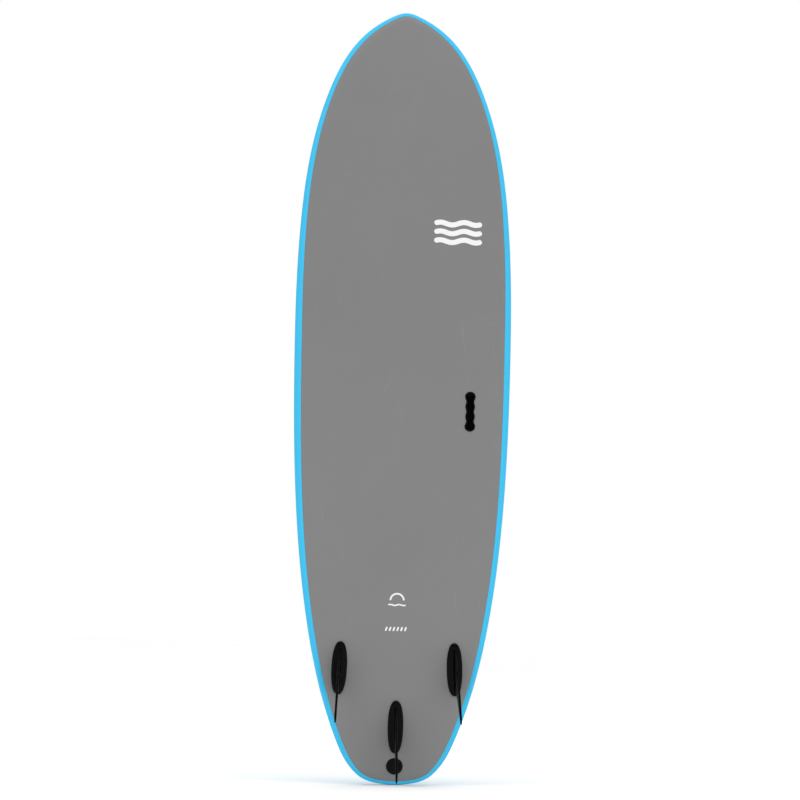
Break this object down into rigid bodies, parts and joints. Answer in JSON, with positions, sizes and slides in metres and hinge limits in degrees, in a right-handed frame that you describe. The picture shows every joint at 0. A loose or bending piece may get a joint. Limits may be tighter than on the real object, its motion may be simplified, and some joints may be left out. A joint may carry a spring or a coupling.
{
  "type": "surfboard",
  "caption": "Soft-top surfboard with a rounded squash tail, slick bottom in a foam rail border, screwed-on raked fins, leash plug and a scalloped finger-grip handle.",
  "frame": {"origin": "middle of the tail's end, where the upright board rests", "axes": "+Z from tail to nose, -Y out of the bottom with the fins, +Y out of the deck, +X to the side with the carry handle"},
  "size_m": [0.596, 0.2505, 2.134],
  "materials": {
    "slick": "smooth polyethylene sheet, satin",
    "backing_foam": "closed-cell foam sheet",
    "skin_foam": "soft closed-cell foam, fine grain",
    "core_foam": "expanded foam beads",
    "plywood": "plywood",
    "fin_plastic": "moulded nylon, semi-gloss",
    "black_plastic": "moulded plastic, fine texture",
    "brass": "knurled insert",
    "steel": "stainless"
  },
  "bodies": {
    "root": {"bottom_slick": "slick", "bottom_backing": "backing_foam", "deck_skin": "skin_foam", "rail_left": "skin_foam", "rail_right": "skin_foam", "core_left": "core_foam", "core_center": "core_foam", "core_right": "core_foam", "stringer_left": "plywood", "stringer_right": "plywood", "fin_left": "fin_plastic", "fin_right": "fin_plastic", "fin_center": "fin_plastic", "fin_insert_left_rear": "brass", "screw_cup_left_rear": "black_plastic", "fin_screw_left_rear": "steel", "fin_insert_left_front": "brass", "screw_cup_left_front": "black_plastic", "fin_screw_left_front": "steel", "fin_insert_right_rear": "brass", "screw_cup_right_rear": "black_plastic", "fin_screw_right_rear": "steel", "fin_insert_right_front": "brass", "screw_cup_right_front": "black_plastic", "fin_screw_right_front": "steel", "fin_insert_center_rear": "brass", "screw_cup_center_rear": "black_plastic", "fin_screw_center_rear": "steel", "fin_insert_center_front": "brass", "screw_cup_center_front": "black_plastic", "fin_screw_center_front": "steel", "leash_disc": "black_plastic", "leash_cup": "black_plastic", "leash_bar": "steel", "leash_insert": "brass", "leash_screw": "steel", "handle_tray": "black_plastic"}
  },
  "joints": []
}
